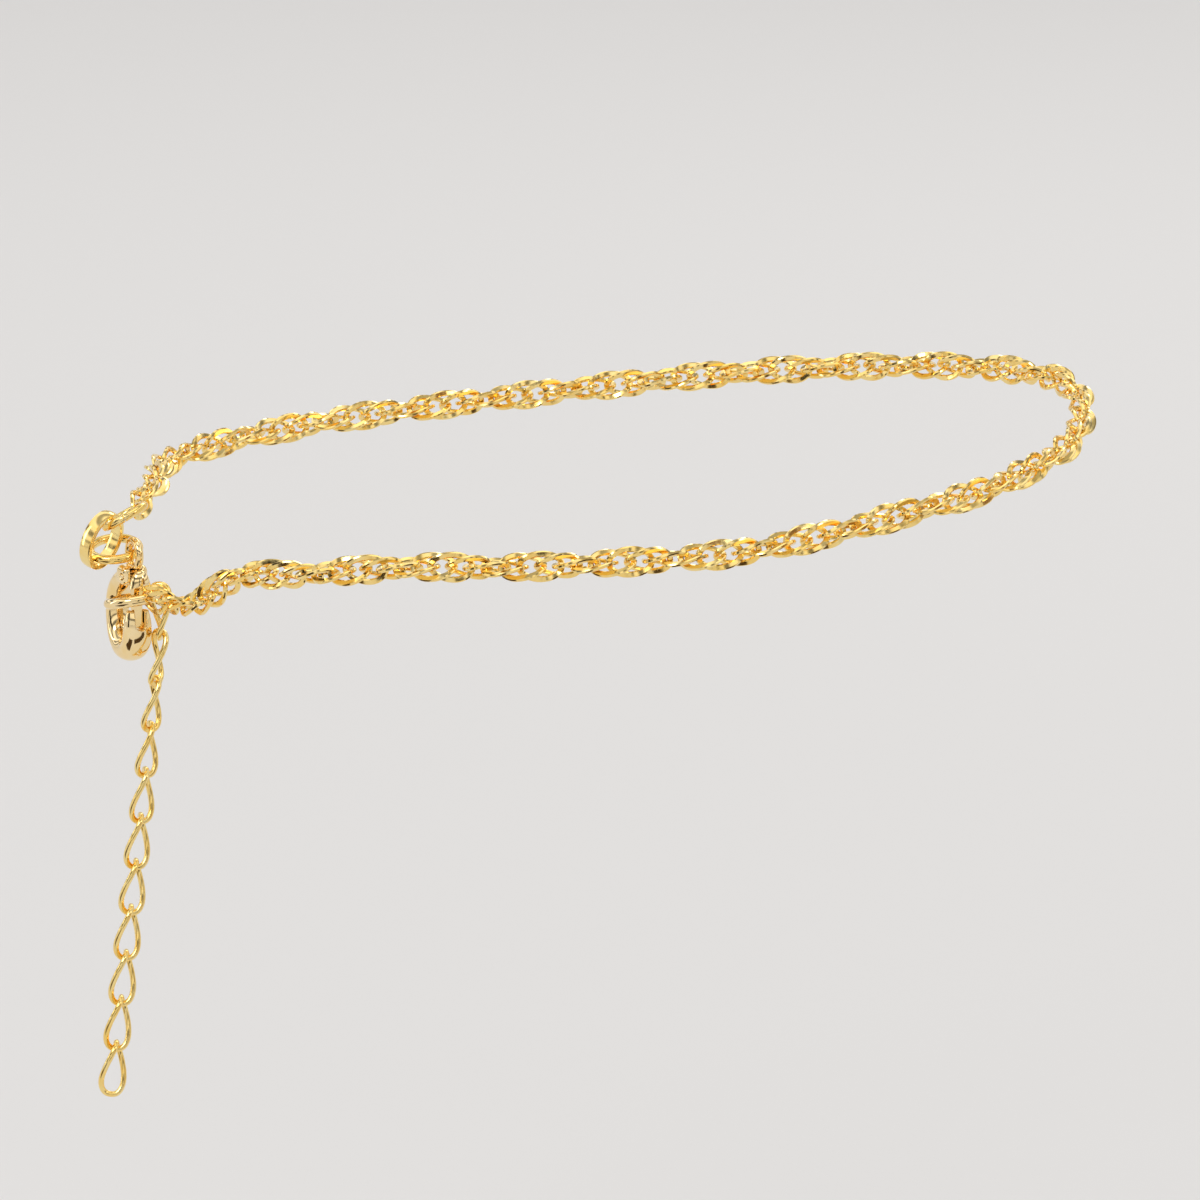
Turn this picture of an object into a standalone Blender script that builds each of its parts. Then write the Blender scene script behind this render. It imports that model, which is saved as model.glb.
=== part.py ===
"""Singapore chain bracelet with a lobster clasp and a hanging extender, fastened round an open wrist space.

Metres, +Z up along the arm, +X to the right and +Y to the back of the loop, away from the extender's side.
The sizes below are in millimetres. The origin is the middle of the wrist, inside the loop.
"""

import math

import bmesh
import bpy
from mathutils import Matrix, Vector

MM = 0.001
UP = Vector((0, 0, 1))

# Clearance between linked or neighbouring pieces, and the sides of round wire
GAP = 0.10
RING_SIDES = 12
RING_STEPS = 36
LINK_SIDES = 6
LINK_STEPS = 20
LINK_FULLNESS = 0.8

# Singapore chain: the outer diameter of its twist, and the route of its middle line between its two end rings
CHAIN_DIAMETER = 1.9
CHAIN_POINTS = 60
CHAIN_END_TAPER = 0.4
CHAIN_END_ROOM = 0.45
CHAIN_ROUTE = [
    (-24.5, -10.4, -4.4),
    (-21.6, -13.7, -2.9),
    (-17.8, -16.4, -2.1),
    (-11.3, -18.9, -1.1),
    (-5.0, -20.1, -0.8),
    (1.5, -20.5, -0.4),
    (8.0, -19.8, 0.0),
    (13.7, -18.2, 0.8),
    (18.5, -16.0, 1.6),
    (22.8, -13.1, 2.2),
    (26.0, -9.6, 2.8),
    (28.2, -6.0, 3.3),
    (29.4, -2.0, 3.9),
    (29.6, 2.5, 4.5),
    (28.2, 7.5, 4.8),
    (24.0, 12.6, 4.4),
    (17.5, 16.8, 3.6),
    (9.0, 19.6, 2.6),
    (0.0, 20.5, 1.5),
    (-9.0, 19.6, 0.6),
    (-17.5, 16.8, 0.0),
    (-24.0, 12.2, -0.4),
    (-27.2, 7.0, -0.6),
    (-27.9, 1.8, -0.5),
]

# Lobster clasp, seen from its eye: the turn of its flat side from edge-on, its length below the eye's middle,
# its width from spine to hook tip and its thickness
CLASP_EYE = Vector((-28.40, -5.4, -3.45))
CLASP_TURN = math.radians(26.0)
CLASP_LENGTH = 6.9
CLASP_WIDTH = 4.5
CLASP_THICKNESS = 1.85
EYE_HOLE = 1.2
EYE_WIRE = 0.5

# The claw from the shoulder down the spine and round to the hook's tip: across, down, half width, half thickness.
# Across and half width are shares of the clasp's width, down of its length, half thickness of its thickness.
CLAW_SECTIONS = [
    (-0.10, 0.200, 0.110, 0.42),
    (-0.32, 0.260, 0.125, 0.44),
    (-0.51, 0.365, 0.122, 0.42),
    (-0.61, 0.500, 0.122, 0.40),
    (-0.60, 0.650, 0.128, 0.41),
    (-0.51, 0.790, 0.140, 0.44),
    (-0.32, 0.885, 0.155, 0.47),
    (-0.09, 0.870, 0.165, 0.50),
    (0.04, 0.780, 0.165, 0.50),
    (0.08, 0.670, 0.155, 0.49),
    (0.09, 0.580, 0.135, 0.45),
    (0.09, 0.500, 0.105, 0.38),
]
CLAW_STEPS = 30
CLAW_SIDES = 14

# Shoulder under the eye, slotted for the lever
SHOULDER_TOP = 0.72
SHOULDER_HEIGHT = 1.25
SHOULDER_WIDTH = 1.35
SHOULDER_ACROSS = -0.38
SHOULDER_THICKNESS = 1.70
SHOULDER_ROUNDING = 0.38

# Lever: its pin, its arm down into the groove of the hook's nose and its domed thumb tab
PIN_ACROSS = -0.10
PIN_DOWN = 1.35
PIN_DIAMETER = 0.36
LEVER_THICKNESS = 0.56
LEVER_BOSS = 0.84
LEVER_ARM_ACROSS = 0.27
LEVER_ARM_WIDTH = 0.56
NOSE_GROOVE = 1.15
TAB_ACROSS = 0.88
TAB_WIDTH = 0.93
TAB_HEIGHT = 1.10
TAB_THICKNESS = 1.30
TAB_FOOT = 1.92

# Thick jump ring through the clasp's eye, and the way its middle lies from the eye
THICK_RING = 3.55
THICK_WIRE = 0.56
THICK_RING_WAY = Vector((-0.78, 0.50, 0.09))
THICK_RING_ROLL = math.radians(-9.0)

# Oval ring of wide band that hangs on the end ring and holds the thick ring
BAND_HEIGHT = 3.7
BAND_DEPTH = 2.6
BAND_WALL = 0.34
BAND_WIDTH = 0.9
BAND_TURN = math.radians(-42.0)
BAND_WAY = Vector((0.34, 0.13, 0.80))
BAND_HOOK = math.radians(253.0)
BAND_PLAY = 0.13

# Jump ring that holds the chain's far end
END_RING = 3.2
END_WIRE = 0.50
END_RING_WAY = Vector((0.68, 0.43, 0.34))
END_RING_ROLL = math.radians(-34.0)
END_RING_DROP = 0.29

# Jump ring caught in the clasp, which holds the chain's near end and the extender
CATCH_RING = 3.85
CATCH_WIRE = 0.66
CATCH_DOWN = 3.18
CATCH_OFFSET = -0.56
CATCH_ROOM = 0.47
CATCH_RING_WAY = Vector((0.72, -0.69, 0.23))
CHAIN_HOOK = math.radians(-2.0)

# Extender of links that each turn a quarter about their length
EXTENDER_LINKS = 11
EXTENDER_LINK_LENGTH = 3.70
EXTENDER_LINK_WIDTH = 1.95
EXTENDER_WIRE = 0.36
EXTENDER_HOOK = math.radians(36.0)
EXTENDER_LEAN = math.radians(6.7)
FIRST_LINK_LEAN = math.radians(0.5)
FIRST_LINK_TURN = math.radians(76.0)
TURN_KEPT = 0.67
FIRST_LINK_PLAY = 0.28

GOLD = ("yellow_gold", (0.93, 0.66, 0.20, 1.0), 0.18)
PALE_GOLD = ("pale_gold", (0.95, 0.76, 0.42, 1.0), 0.14)


def clear_scene():
    for old in list(bpy.data.objects):
        bpy.data.objects.remove(old)


def metal(finish):
    name, colour, roughness = finish
    material = bpy.data.materials.get(name) or bpy.data.materials.new(name)
    material.use_nodes = True
    shader = material.node_tree.nodes["Principled BSDF"]
    shader.inputs["Base Color"].default_value = colour
    shader.inputs["Metallic"].default_value = 1.0
    shader.inputs["Roughness"].default_value = roughness
    return material


def new_object(name, mesh, finish):
    mesh.materials.append(metal(finish))
    piece = bpy.data.objects.new(name, mesh)
    bpy.context.scene.collection.objects.link(piece)
    return piece


def mesh_from(name, points, faces):
    """Closed mesh whose points are given in millimetres."""
    mesh = bpy.data.meshes.new(name)
    mesh.from_pydata([point * MM for point in points], [], faces)
    shape = bmesh.new()
    shape.from_mesh(mesh)
    bmesh.ops.recalc_face_normals(shape, faces=shape.faces)
    shape.to_mesh(mesh)
    shape.free()
    mesh.shade_smooth()
    mesh.set_sharp_from_angle(angle=math.radians(50))
    return mesh


def round_section(wire, sides):
    """Points of a wire's section, outward and sideways."""
    turns = [2 * math.pi * (side + 0.5) / sides for side in range(sides)]
    return [(wire / 2 * math.cos(turn), wire / 2 * math.sin(turn)) for turn in turns]


def band_section(wall, width):
    """Flat band's section with a softly crowned outer face."""
    edge = width / 2
    return [
        (0.0, -edge),
        (0.7 * wall / 2, -0.88 * edge),
        (wall / 2, -0.45 * edge),
        (wall / 2, 0.45 * edge),
        (0.7 * wall / 2, 0.88 * edge),
        (0.0, edge),
        (-wall / 2, 0.85 * edge),
        (-wall / 2, -0.85 * edge),
    ]


def full_oval(value, fullness):
    """Sine or cosine pushed outward: an ellipse's at 1, and squarer below."""
    return math.copysign(abs(value) ** fullness, value)


def closed_loop(name, length, width, section, steps, twist=0.0, fullness=1.0):
    """Oval of the given section in the XY plane, long along X, turned about X by twist from end to end."""
    middle = []
    for step in range(steps):
        turn = 2 * math.pi * step / steps
        along = length / 2 * full_oval(math.cos(turn), fullness)
        across = width / 2 * full_oval(math.sin(turn), fullness)
        roll = twist * (along / length + 0.5)
        middle.append(Vector((along, across * math.cos(roll), across * math.sin(roll))))
    points = []
    for step, point in enumerate(middle):
        tangent = (middle[(step + 1) % steps] - middle[step - 1]).normalized()
        outward = (point - tangent * point.dot(tangent)).normalized()
        sideways = tangent.cross(outward)
        points += [point + outward * out + sideways * side for out, side in section]
    sides = len(section)
    faces = []
    for step in range(steps):
        here, there = step * sides, (step + 1) % steps * sides
        for side in range(sides):
            follows = (side + 1) % sides
            faces.append((here + side, here + follows, there + follows, there + side))
    return mesh_from(name, points, faces)


def oriented(middle, length_way, width_way):
    """Placement whose X runs along length_way, with width_way in its XY plane."""
    x_axis = length_way.normalized()
    z_axis = x_axis.cross(width_way).normalized()
    y_axis = z_axis.cross(x_axis)
    turn = Matrix((x_axis, y_axis, z_axis)).transposed().to_4x4()
    return Matrix.Translation(middle * MM) @ turn


def round_ring(name, outer, wire, middle, length_way, width_way, finish):
    bore = outer - wire
    mesh = closed_loop(name, bore, bore, round_section(wire, RING_SIDES), RING_STEPS)
    ring = new_object(name, mesh, finish)
    ring.matrix_world = oriented(middle, length_way, width_way)
    return ring


def smooth_route(route, count):
    """Evenly spaced points along a smooth curve through the route's points."""
    fine = []
    last = len(route) - 1
    for index in range(last):
        before = route[max(index - 1, 0)]
        start, end = route[index], route[index + 1]
        after = route[min(index + 2, last)]
        for share in (step / 12 for step in range(12)):
            pull = (
                2 * start
                + (end - before) * share
                + (2 * before - 5 * start + 4 * end - after) * share**2
                + (3 * start - before - 3 * end + after) * share**3
            )
            fine.append(pull / 2)
    fine.append(route[-1])
    reach = [0.0]
    for start, end in zip(fine, fine[1:]):
        reach.append(reach[-1] + (end - start).length)
    points = []
    index = 0
    for step in range(count):
        target = reach[-1] * step / (count - 1)
        while index < len(fine) - 2 and reach[index + 1] < target:
            index += 1
        share = (target - reach[index]) / (reach[index + 1] - reach[index])
        points.append(fine[index].lerp(fine[index + 1], share))
    return points


def chain(start, end):
    """Tube of the chain's outer diameter along the route from start to end."""
    route = [start] + [Vector(place) for place in CHAIN_ROUTE] + [end]
    points = smooth_route(route, CHAIN_POINTS)
    curve = bpy.data.curves.new("singapore_chain", "CURVE")
    curve.dimensions = "3D"
    curve.bevel_depth = CHAIN_DIAMETER / 2 * MM
    curve.bevel_resolution = 2
    curve.use_fill_caps = True
    spline = curve.splines.new("POLY")
    spline.points.add(len(points) - 1)
    for number, (place, point) in enumerate(zip(spline.points, points)):
        place.co = (*(point * MM), 1.0)
        from_end = min(number, CHAIN_POINTS - 1 - number)
        place.radius = CHAIN_END_TAPER if from_end == 0 else 1.0
    new_object("singapore_chain", curve, GOLD)


def clasp_frame():
    """Empty at the eye's middle: X from spine to lever, Y through the thickness, Z up."""
    frame = bpy.data.objects.new("clasp_frame", None)
    bpy.context.scene.collection.objects.link(frame)
    frame.matrix_world = clasp_placement()
    return frame


def clasp_placement():
    turn = Matrix.Rotation(CLASP_TURN - math.pi / 2, 4, "Z")
    return Matrix.Translation(CLASP_EYE * MM) @ turn


def clasp_point(across, through, down):
    """World place, in millimetres, of a point given in the clasp's own directions."""
    return clasp_placement() @ (Vector((across, through, -down)) * MM) / MM


def clasp_way(across, through, down):
    return clasp_placement().to_3x3() @ Vector((across, through, -down))


def claw_rows():
    """The claw's middle points, half widths and half thicknesses in millimetres, smoothed."""
    rows = []
    for across, down, half_width, half_thickness in CLAW_SECTIONS:
        middle = Vector((across * CLASP_WIDTH, 0, -down * CLASP_LENGTH))
        rows.append((middle, Vector((half_width * CLASP_WIDTH, half_thickness * CLASP_THICKNESS, 0))))
    middles = smooth_route([middle for middle, _ in rows], CLAW_STEPS)
    sizes = []
    for step in range(CLAW_STEPS):
        place = (len(rows) - 1) * step / (CLAW_STEPS - 1)
        index = min(int(place), len(rows) - 2)
        sizes.append(rows[index][1].lerp(rows[index + 1][1], place - index))
    return middles, sizes


def claw_mesh():
    """Claw swept through its sections, with both ends rounded over."""
    middles, sizes = claw_rows()
    through = Vector((0, 1, 0))
    points = []
    for step, middle in enumerate(middles):
        ahead = middles[min(step + 1, CLAW_STEPS - 1)]
        behind = middles[max(step - 1, 0)]
        outward = (ahead - behind).normalized().cross(through)
        half_width, half_thickness, _ = sizes[step]
        for side in range(CLAW_SIDES):
            turn = 2 * math.pi * side / CLAW_SIDES
            points.append(
                middle + outward * half_width * math.cos(turn) + through * half_thickness * math.sin(turn)
            )
    faces = []
    for step in range(CLAW_STEPS - 1):
        here, there = step * CLAW_SIDES, (step + 1) * CLAW_SIDES
        for side in range(CLAW_SIDES):
            follows = (side + 1) % CLAW_SIDES
            faces.append((here + side, here + follows, there + follows, there + side))
    faces.append(tuple(range(CLAW_SIDES)))
    faces.append(tuple((CLAW_STEPS - 1) * CLAW_SIDES + side for side in range(CLAW_SIDES)))
    return mesh_from("claw", points, faces)


def block_mesh(name, size, rounding):
    """Block about its own middle, with rounded edges."""
    shape = bmesh.new()
    bmesh.ops.create_cube(shape, size=1.0)
    bmesh.ops.scale(shape, vec=Vector(size) * MM, verts=shape.verts)
    if rounding:
        bmesh.ops.bevel(shape, geom=shape.edges[:], offset=rounding * MM, segments=3, affect="EDGES", profile=0.5)
    mesh = bpy.data.meshes.new(name)
    shape.to_mesh(mesh)
    shape.free()
    mesh.shade_smooth()
    mesh.set_sharp_from_angle(angle=math.radians(50))
    return mesh


def cylinder_mesh(name, diameter, length, sides):
    """Cylinder along Y about its own middle."""
    shape = bmesh.new()
    bmesh.ops.create_cone(
        shape,
        cap_ends=True,
        segments=sides,
        radius1=diameter / 2 * MM,
        radius2=diameter / 2 * MM,
        depth=length * MM,
        matrix=Matrix.Rotation(math.pi / 2, 4, "X"),
    )
    mesh = bpy.data.meshes.new(name)
    shape.to_mesh(mesh)
    shape.free()
    mesh.shade_smooth()
    mesh.set_sharp_from_angle(angle=math.radians(50))
    return mesh


def helper(name, mesh, frame, place):
    """Solid that only a Boolean uses."""
    tool = bpy.data.objects.new(name, mesh)
    bpy.context.scene.collection.objects.link(tool)
    tool.parent = frame
    tool.location = Vector(place) * MM
    tool.hide_render = True
    tool.display_type = "WIRE"
    return tool


def boolean(piece, tool, operation):
    step = piece.modifiers.new(tool.name, "BOOLEAN")
    step.operation = operation
    step.solver = "EXACT"
    step.object = tool


def clasp_body(frame):
    """Claw, shoulder and eye in one, slotted for the lever and drilled for its pin."""
    body = new_object("clasp_body", claw_mesh(), PALE_GOLD)
    body.parent = frame

    shoulder_middle = (SHOULDER_ACROSS, 0, -SHOULDER_TOP - SHOULDER_HEIGHT / 2)
    shoulder = block_mesh("shoulder", (SHOULDER_WIDTH, SHOULDER_THICKNESS, SHOULDER_HEIGHT), SHOULDER_ROUNDING)
    boolean(body, helper("shoulder", shoulder, frame, shoulder_middle), "UNION")

    eye_bore = EYE_HOLE + EYE_WIRE
    eye_mesh = closed_loop("eye", eye_bore, eye_bore, round_section(EYE_WIRE, RING_SIDES), RING_STEPS)
    eye = helper("eye", eye_mesh, frame, (0, 0, 0))
    eye.rotation_euler = (math.pi / 2, 0, 0)
    boolean(body, eye, "UNION")

    slot_thickness = LEVER_THICKNESS + 2 * GAP
    slot_back = PIN_ACROSS - LEVER_BOSS / 2 - GAP
    slot_front = SHOULDER_ACROSS + SHOULDER_WIDTH
    slot_top = -(PIN_DOWN - LEVER_BOSS / 2 - GAP)
    slot_foot = -(SHOULDER_TOP + 2 * SHOULDER_HEIGHT)
    slot_size = (slot_front - slot_back, slot_thickness, slot_top - slot_foot)
    slot_middle = ((slot_front + slot_back) / 2, 0, (slot_top + slot_foot) / 2)
    slot = helper("lever_slot", block_mesh("lever_slot", slot_size, 0), frame, slot_middle)
    boolean(body, slot, "DIFFERENCE")

    groove_size = (2 * TAB_ACROSS, slot_thickness, 2 * NOSE_GROOVE)
    groove_middle = (LEVER_ARM_ACROSS, 0, -hook_tip_down())
    groove = helper("nose_groove", block_mesh("nose_groove", groove_size, 0), frame, groove_middle)
    boolean(body, groove, "DIFFERENCE")

    bore = cylinder_mesh("pin_bore", PIN_DIAMETER + GAP, 2 * CLASP_THICKNESS, 16)
    boolean(body, helper("pin_bore", bore, frame, (PIN_ACROSS, 0, -PIN_DOWN)), "DIFFERENCE")
    return body


def clasp_pin(frame):
    pin = new_object("clasp_pin", cylinder_mesh("clasp_pin", PIN_DIAMETER, SHOULDER_THICKNESS, 16), PALE_GOLD)
    pin.parent = frame
    pin.location = Vector((PIN_ACROSS, 0, -PIN_DOWN)) * MM


def hook_tip_down():
    """How far below the eye the hook's tip begins."""
    return CLAW_SECTIONS[-1][1] * CLASP_LENGTH


def clasp_lever(frame):
    """Boss on the pin, arm down into the nose's groove and domed thumb tab in front."""
    hinge = bpy.data.objects.new("lever_hinge", None)
    bpy.context.scene.collection.objects.link(hinge)
    hinge.parent = frame
    hinge.location = Vector((PIN_ACROSS, 0, -PIN_DOWN)) * MM

    boss = cylinder_mesh("lever_boss", LEVER_BOSS, LEVER_THICKNESS, 24)
    lever = new_object("clasp_lever", boss, PALE_GOLD)
    lever.parent = hinge

    arm_foot = hook_tip_down() + NOSE_GROOVE - GAP
    arm_length = arm_foot - PIN_DOWN
    arm = block_mesh("lever_arm", (LEVER_ARM_WIDTH, LEVER_THICKNESS, arm_length), 0.12)
    arm_middle = (LEVER_ARM_ACROSS - PIN_ACROSS, 0, -arm_length / 2)
    boolean(lever, helper("lever_arm", arm, hinge, arm_middle), "UNION")

    neck_length = TAB_ACROSS - PIN_ACROSS
    neck = block_mesh("tab_neck", (neck_length, LEVER_THICKNESS * 0.96, LEVER_BOSS * 0.6), 0)
    boolean(lever, helper("tab_neck", neck, hinge, (neck_length / 2, 0, 0)), "UNION")

    tab_middle = (TAB_ACROSS - PIN_ACROSS, 0, PIN_DOWN - TAB_FOOT)
    boolean(lever, helper("thumb_tab", dome_mesh(), hinge, tab_middle), "UNION")

    bore = cylinder_mesh("lever_bore", PIN_DIAMETER + GAP, 2 * CLASP_THICKNESS, 16)
    boolean(lever, helper("lever_bore", bore, hinge, (0, 0, 0)), "DIFFERENCE")


def dome_mesh():
    """Half egg on a flat foot, with a small rolled rim."""
    sides, rows = 20, 7
    points = []
    for row in range(rows):
        rise = math.pi / 2 * row / rows
        spread, lift = math.cos(rise), math.sin(rise)
        for side in range(sides):
            turn = 2 * math.pi * side / sides
            points.append(
                Vector(
                    (
                        TAB_WIDTH / 2 * spread * math.cos(turn),
                        TAB_THICKNESS / 2 * spread * math.sin(turn),
                        TAB_HEIGHT * lift,
                    )
                )
            )
    points.append(Vector((0, 0, TAB_HEIGHT)))
    faces = [tuple(range(sides))]
    for row in range(rows - 1):
        for side in range(sides):
            follows = (side + 1) % sides
            here, above = row * sides, (row + 1) * sides
            faces.append((here + side, here + follows, above + follows, above + side))
    for side in range(sides):
        faces.append(((rows - 1) * sides + side, (rows - 1) * sides + (side + 1) % sides, len(points) - 1))
    return mesh_from("thumb_tab", points, faces)


def thick_ring():
    """Ring through the eye. Returns its point and direction where the band ring holds it."""
    radius = (THICK_RING - THICK_WIRE) / 2
    way = THICK_RING_WAY.normalized()
    through = clasp_way(0, 1, 0)
    side_way = (through - way * through.dot(way)).normalized()
    side_way = Matrix.Rotation(THICK_RING_ROLL, 3, way) @ side_way
    middle = CLASP_EYE + way * radius
    round_ring("clasp_ring", THICK_RING, THICK_WIRE, middle, way, side_way, GOLD)
    return middle + radius * (side_way * math.sin(BAND_HOOK) - way * math.cos(BAND_HOOK))


def band_ring(held):
    """Oval band ring that carries the thick ring at held. Returns where the end ring passes through its top."""
    inner_half = BAND_HEIGHT / 2 - BAND_WALL
    way = BAND_WAY.normalized()
    middle = held + way * (inner_half - THICK_WIRE / 2 - BAND_PLAY)
    hole_way = Vector((math.cos(BAND_TURN), math.sin(BAND_TURN), 0))
    hole_way = (hole_way - way * hole_way.dot(way)).normalized()
    section = band_section(BAND_WALL, BAND_WIDTH)
    mesh = closed_loop("band_ring", BAND_HEIGHT - BAND_WALL, BAND_DEPTH - BAND_WALL, section, RING_STEPS)
    ring = new_object("band_ring", mesh, GOLD)
    ring.matrix_world = oriented(middle, way, way.cross(hole_way))
    return middle + way * (inner_half - END_WIRE / 2 - GAP - END_RING_DROP), hole_way


def end_ring(held, hole_way):
    """Jump ring through the band ring's top. Returns its far inner end, and the way out to the chain."""
    radius = (END_RING - END_WIRE) / 2
    way = END_RING_WAY.normalized()
    side_way = (hole_way - way * hole_way.dot(way)).normalized()
    side_way = Matrix.Rotation(END_RING_ROLL, 3, way) @ side_way
    round_ring("end_ring", END_RING, END_WIRE, held + way * radius, way, side_way, GOLD)
    return held + way * 2 * radius, way


def catch_ring():
    """Ring in the clasp's opening. Returns its middle, its way and its sideways way."""
    radius = (CATCH_RING - CATCH_WIRE) / 2
    way = CATCH_RING_WAY.normalized()
    side_way = UP.cross(way).normalized()
    middles, sizes = claw_rows()
    spine = min(range(CLAW_STEPS), key=lambda step: middles[step].x)
    inside = middles[spine].x + sizes[spine].x + CATCH_WIRE / 2 + CATCH_ROOM
    start = clasp_point(inside, CATCH_OFFSET, CATCH_DOWN)
    middle = start + way * radius
    round_ring("extender_ring", CATCH_RING, CATCH_WIRE, middle, way, side_way, PALE_GOLD)
    return middle, way, side_way, radius


def extender(ring_middle, ring_way, ring_side_way, ring_radius):
    """Links hung one in the next below the ring, each with its foot turned a quarter from its head."""
    hook = ring_middle + ring_radius * (ring_way * math.cos(EXTENDER_HOOK) + ring_side_way * math.sin(EXTENDER_HOOK))
    held_wire = CATCH_WIRE + FIRST_LINK_PLAY
    length = EXTENDER_LINK_LENGTH - EXTENDER_WIRE
    width = EXTENDER_LINK_WIDTH - EXTENDER_WIRE
    section = round_section(EXTENDER_WIRE, LINK_SIDES)
    mesh = closed_loop("extender_link", length, width, section, LINK_STEPS, math.pi / 2, LINK_FULLNESS)
    mesh.materials.append(metal(GOLD))
    for number in range(EXTENDER_LINKS):
        link = bpy.data.objects.new(f"extender_link_{number + 1:02d}", mesh)
        bpy.context.scene.collection.objects.link(link)
        lean = EXTENDER_LEAN if number else FIRST_LINK_LEAN
        down = Vector((-math.sin(lean), 0, -math.cos(lean)))
        turn = FIRST_LINK_TURN * TURN_KEPT**number
        head_width_way = Vector((-math.sin(turn), math.cos(turn), 0))
        drop = EXTENDER_LINK_LENGTH / 2 - EXTENDER_WIRE - (held_wire + GAP) / 2
        link.matrix_world = oriented(hook + down * drop, down, head_width_way)
        hook += down * (drop + length / 2)
        held_wire = EXTENDER_WIRE


def build():
    clear_scene()
    frame = clasp_frame()
    clasp_body(frame)
    clasp_pin(frame)
    clasp_lever(frame)
    band_hold, hole_way = band_ring(thick_ring())
    far_end, far_way = end_ring(band_hold, hole_way)
    middle, way, side_way, radius = catch_ring()
    extender(middle, way, side_way, radius)
    near_way = way * math.cos(CHAIN_HOOK) + side_way * math.sin(CHAIN_HOOK)
    near_start = middle + near_way * (radius + CATCH_WIRE / 2 + CHAIN_END_ROOM)
    far_stop = far_end + far_way * (END_WIRE / 2 + CHAIN_END_ROOM)
    chain(near_start, far_stop)


build()
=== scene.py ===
"""Looks of the singapore chain bracelet: its linked chain, cast clasp, wire rings, gold, studio and camera.

Metres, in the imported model's frame. The sizes below are in millimetres unless they say otherwise.
"""

import math

import bmesh
import bpy
import numpy as np
from mathutils import Matrix, Vector


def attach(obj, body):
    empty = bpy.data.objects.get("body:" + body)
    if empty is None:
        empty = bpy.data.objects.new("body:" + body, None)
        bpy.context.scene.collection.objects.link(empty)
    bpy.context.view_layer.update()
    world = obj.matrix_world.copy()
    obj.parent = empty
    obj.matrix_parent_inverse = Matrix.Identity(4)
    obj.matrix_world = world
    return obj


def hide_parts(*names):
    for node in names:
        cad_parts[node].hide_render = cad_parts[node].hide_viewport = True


MM = 0.001

# Angle between faces above which an edge is drawn sharp
SHARP = math.radians(50.0)

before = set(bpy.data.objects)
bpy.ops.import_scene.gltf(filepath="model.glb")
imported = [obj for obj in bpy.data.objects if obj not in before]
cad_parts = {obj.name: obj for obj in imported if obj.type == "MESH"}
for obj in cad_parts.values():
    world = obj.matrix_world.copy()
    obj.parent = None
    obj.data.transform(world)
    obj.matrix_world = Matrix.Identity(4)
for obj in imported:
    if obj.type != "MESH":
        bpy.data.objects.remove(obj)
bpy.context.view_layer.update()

# Chain route between its two end rings, close to the one in the model's source
CHAIN_ROUTE = [
    (-24.47, -10.61, -5.24),
    (-21.6, -13.7, -2.9),
    (-17.8, -16.4, -2.1),
    (-11.3, -18.9, -1.1),
    (-5.0, -20.1, -0.8),
    (1.5, -20.5, -0.4),
    (8.0, -19.8, 0.0),
    (13.7, -18.2, 0.8),
    (18.5, -16.0, 1.6),
    (22.8, -13.1, 2.2),
    (26.0, -9.6, 2.8),
    (28.2, -6.0, 3.3),
    (29.4, -2.0, 3.9),
    (29.6, 2.5, 4.5),
    (28.2, 7.5, 4.8),
    (24.0, 12.6, 4.4),
    (17.5, 16.8, 3.6),
    (9.0, 19.6, 2.6),
    (0.0, 20.5, 1.5),
    (-9.0, 19.6, 0.6),
    (-17.5, 16.8, 0.0),
    (-24.0, 12.2, -0.4),
    (-27.2, 7.0, -0.6),
    (-27.47, 1.38, -0.56),
]

# Chain links: each is an oval with flattened faces, turned from the one before
# and twisted a little the other way along its own length, in radians a millimetre
LINK_LENGTH = 2.95
LINK_WIDTH = 1.88
LINK_WIRE = 0.38
LINK_FULLNESS = 0.92
LINK_FACE_SHARE = 0.62
LINK_PITCH = 1.07
LINK_TURN = math.radians(34.5)
LINK_TWIST = math.radians(-18.0)
LINK_STEPS = 40
LINK_SIDES = 10
LINK_SHARP = math.radians(32.0)

# How far the twist runs ahead between the chain's ends, and the links over which it gets there
TWIST_AHEAD = math.radians(-45.0)
TWIST_LINKS = 14

# Ways from the end rings' middles to where the chain holds them, and the play there
NEAR_WAY = Vector((0.509, -0.765, 0.394))
NEAR_PLAY = 0.015
FAR_WAY = Vector((0.44, 0.68, -0.01))
FAR_PLAY = 0.06

# Round jump rings: outer diameter and wire, and the way from the middle to the ring's closed seam
RINGS = {
    "clasp_ring": (3.55, 0.56, (-1.0, -0.15, 0.0)),
    "end_ring": (3.20, 0.50, (-0.2, -0.8, 0.5)),
    "extender_ring": (3.85, 0.66, (-0.1, 1.0, 0.1)),
}
RING_STEPS = 96
RING_SIDES = 24
RING_SHARP = math.radians(60.0)

# Closed seam of a jump ring: its width, the wire's shares next to it with the turn between them,
# and the turn from the seam to where the plain wire starts
SEAM = 0.035
SEAM_SHARES = [0.86, 0.97, 1.0]
SEAM_STEP = 0.012
SEAM_REACH = 0.05

# Oval band ring
BAND_HEIGHT = 3.7
BAND_DEPTH = 2.6
BAND_WALL = 0.34
BAND_WIDTH = 0.9
BAND_STEPS = 96
BAND_SHARP = math.radians(38.0)

# Its section in shares of half the wall and half the width: the outer face's reach and crown,
# the rounding of one edge from the outer face inward, and the inner face's reach
BAND_CROWN_REACH = 0.90
BAND_CROWN_POINTS = 9
BAND_CROWN_FOOT = 0.72
BAND_ROUNDING = [(0.25, 0.985), (-0.55, 0.985), (-0.92, 0.93)]
BAND_INNER_REACH = 0.8
BAND_INNER_POINTS = 5

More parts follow.
